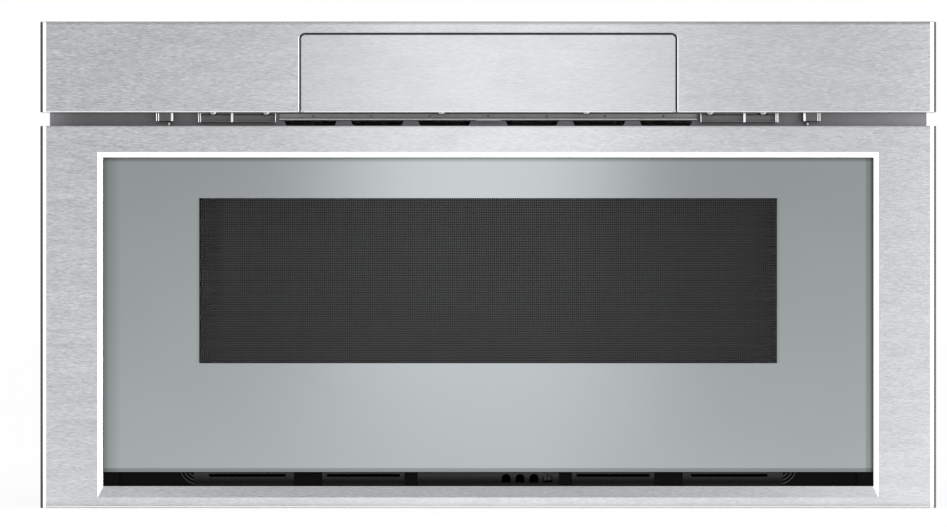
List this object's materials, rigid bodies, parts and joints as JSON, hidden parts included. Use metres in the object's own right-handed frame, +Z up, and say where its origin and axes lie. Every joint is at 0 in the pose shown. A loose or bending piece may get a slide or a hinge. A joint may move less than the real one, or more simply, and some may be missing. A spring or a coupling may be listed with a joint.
{
  "type": "microwave drawer",
  "caption": "Built-in microwave oven with a motor-driven pull-out drawer under a control strip whose hidden flap swings out.",
  "frame": {"origin": "centre of the base plate's underside, which stands on the cabinet's floor", "axes": "+X to the right of a person in front, +Y back into the cabinet, +Z up"},
  "size_m": [0.76, 0.5973, 0.4125],
  "materials": {
    "steel_front": "brushed, horizontal grain",
    "zinc_steel": "galvanised sheet",
    "bright_pin": "bright",
    "rail_steel": "zinc plated",
    "cavity_enamel": "satin grey enamel",
    "drawer_glass": "tinted, reflective",
    "floor_glass": "smooth",
    "control_glass": "gloss black glass",
    "screen_metal": "perforated, dark",
    "black_plastic": "matte black",
    "grey_plastic": "matte grey",
    "white_plastic": "matte white",
    "aluminium": "mill finish",
    "mica": "pressed mica",
    "iron_core": "varnished laminations",
    "circuit_board": "green board"
  },
  "bodies": {
    "chassis": {"control_fascia": "steel_front", "base_plate": "zinc_steel", "left_side_panel": "zinc_steel", "right_side_panel": "zinc_steel", "top_cover": "zinc_steel", "back_cover": "zinc_steel", "front_flange": "zinc_steel", "air_outlet_baffle": "zinc_steel", "left_strip_mount": "zinc_steel", "right_strip_mount": "zinc_steel", "left_gap_bracket": "zinc_steel", "right_gap_bracket": "zinc_steel", "left_locating_pin": "bright_pin", "right_locating_pin": "bright_pin", "left_outer_rail": "rail_steel", "right_outer_rail": "rail_steel", "oven_cavity": "cavity_enamel", "drawer_motor": "black_plastic", "left_interlock_switch": "black_plastic", "right_interlock_switch": "black_plastic", "cord_gland": "black_plastic", "stirrer_motor": "black_plastic", "flap_motor": "black_plastic", "rack_guide": "grey_plastic", "fan_duct": "grey_plastic", "left_flap_bracket": "grey_plastic", "right_flap_bracket": "grey_plastic", "board_tray": "white_plastic", "waveguide": "aluminium", "magnetron": "aluminium", "high_voltage_capacitor": "aluminium", "stirrer_cover": "mica", "high_voltage_transformer": "iron_core", "fan_motor": "iron_core", "filter_board": "circuit_board", "main_board": "circuit_board"},
    "flap": {"flap_cover": "steel_front", "flap_carrier": "black_plastic", "control_glass": "control_glass", "flap_sector_gear": "white_plastic"},
    "drawer": {"drawer_front_frame": "steel_front", "drawer_glass": "drawer_glass", "window_screen": "screen_metal", "door_choke_frame": "zinc_steel", "choke_cover": "black_plastic", "air_inlet_grille": "black_plastic", "drawer_pan": "cavity_enamel", "glass_floor": "floor_glass", "left_inner_rail": "rail_steel", "right_inner_rail": "rail_steel", "gear_rack": "white_plastic", "left_latch_hook": "black_plastic", "right_latch_hook": "black_plastic"},
    "left_slide_member": {"left_middle_rail": "rail_steel"},
    "right_slide_member": {"right_middle_rail": "rail_steel"},
    "drive_pinion": {"drive_pinion": "white_plastic"},
    "flap_pinion": {"flap_pinion": "white_plastic"},
    "stirrer": {"stirrer": "aluminium"},
    "cooling_fan": {"cooling_fan": "black_plastic"}
  },
  "joints": [
    {"name": "drawer_slide", "type": "slide", "parent": "chassis", "child": "drawer", "axis": [0, -1, 0], "range_m": [0, 0.381]},
    {"name": "left_member_slide", "type": "slide", "parent": "chassis", "child": "left_slide_member", "axis": [0, -1, 0], "range_m": [0, 0.191]},
    {"name": "right_member_slide", "type": "slide", "parent": "chassis", "child": "right_slide_member", "axis": [0, -1, 0], "range_m": [0, 0.191]},
    {"name": "drive_pinion_spin", "type": "hinge", "parent": "chassis", "child": "drive_pinion", "pos_m": [0.06, -0.25, 0.03], "axis": [1, 0, 0], "range_deg": [-1365, 0]},
    {"name": "flap_hinge", "type": "hinge", "parent": "chassis", "child": "flap", "pos_m": [0, -0.304, 0.326], "axis": [1, 0, 0], "range_deg": [0, 45]},
    {"name": "flap_pinion_spin", "type": "hinge", "parent": "chassis", "child": "flap_pinion", "pos_m": [-0.15, -0.28408, 0.34271], "axis": [1, 0, 0], "range_deg": [-151, 0]},
    {"name": "stirrer_spin", "type": "hinge", "parent": "chassis", "child": "stirrer", "pos_m": [0, -0.02, 0.2765], "axis": [0, 0, 1], "continuous": true},
    {"name": "cooling_fan_spin", "type": "hinge", "parent": "chassis", "child": "cooling_fan", "pos_m": [0, 0.259, 0.196], "axis": [0, 1, 0], "continuous": true}
  ],
  "couplings": [
    {"joint": "left_member_slide", "follows": "drawer_slide", "ratio": 0.5},
    {"joint": "right_member_slide", "follows": "drawer_slide", "ratio": 0.5},
    {"joint": "drive_pinion_spin", "follows": "drawer_slide", "rad_per_m": -62.5},
    {"joint": "flap_pinion_spin", "follows": "flap_hinge", "ratio": -3.3333}
  ]
}
